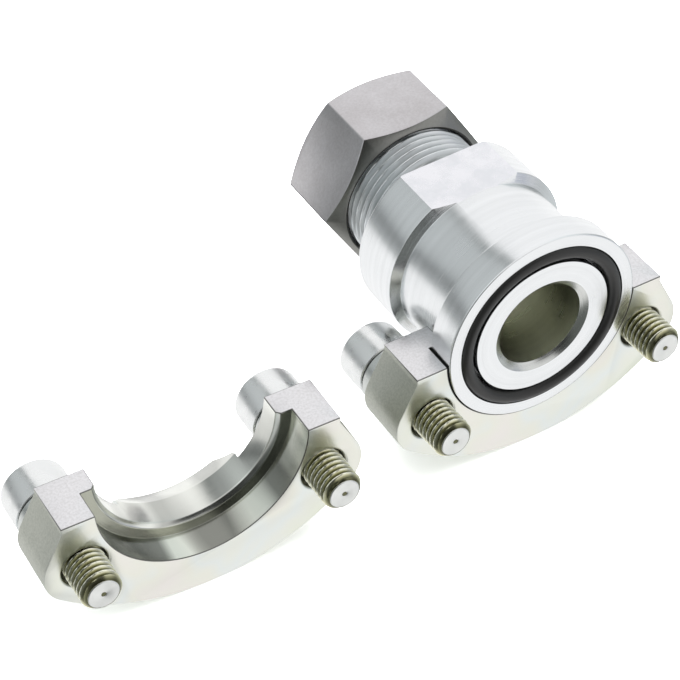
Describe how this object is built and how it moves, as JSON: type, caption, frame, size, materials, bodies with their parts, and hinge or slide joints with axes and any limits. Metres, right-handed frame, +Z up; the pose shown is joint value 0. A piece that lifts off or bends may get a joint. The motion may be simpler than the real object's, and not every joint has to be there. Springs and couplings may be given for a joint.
{
  "type": "split flange adapter set",
  "caption": "Straight hydraulic flange adapter with a face seal and a cutting-ring union nut, lying in one clamp half, with the other clamp half, cap screws and lock washers beside it.",
  "frame": {"origin": "centre of the adapter's sealing face, on its axis", "axes": "+Y along the adapter from its sealing face to its tube end, +X along the screw lugs of the seated half, +Z up from the clamp half to the adapter's open side"},
  "size_m": [0.1663, 0.0887, 0.0613],
  "materials": {
    "bright_zinc": "turned steel with a bluish zinc coat, fine lathe marks",
    "pale_zinc": "forged and machined steel, pale slightly iridescent zinc coat",
    "dark_phosphate": "dark grey satin phosphate coat",
    "plain_steel": "turned steel",
    "screw_zinc": "silver zinc coat",
    "washer_zinc": "spring steel, zinc coat",
    "black_rubber": "smooth, slightly shiny"
  },
  "bodies": {
    "set": {"flange_adapter": "bright_zinc", "face_o_ring": "black_rubber", "seated_half": "pale_zinc", "loose_half": "pale_zinc", "seated_screw_left": "screw_zinc", "seated_screw_right": "screw_zinc", "loose_screw_left": "screw_zinc", "loose_screw_right": "screw_zinc", "seated_washer_left": "washer_zinc", "seated_washer_right": "washer_zinc", "loose_washer_left": "washer_zinc", "loose_washer_right": "washer_zinc"},
    "ring": {"cutting_ring": "plain_steel"},
    "nut": {"union_nut": "dark_phosphate"}
  },
  "joints": [
    {"name": "ring_slide", "type": "slide", "parent": "set", "child": "ring", "axis": [0, 1, 0], "range_m": [-0.00401, 0.00551]},
    {"name": "nut_turn", "type": "hinge", "parent": "ring", "child": "nut", "pos_m": [0, 0.0672, 0], "axis": [0, 1, 0], "range_deg": [-720, 990]}
  ],
  "couplings": [
    {"joint": "ring_slide", "follows": "nut_turn", "m_per_rad": 0.00031831}
  ]
}
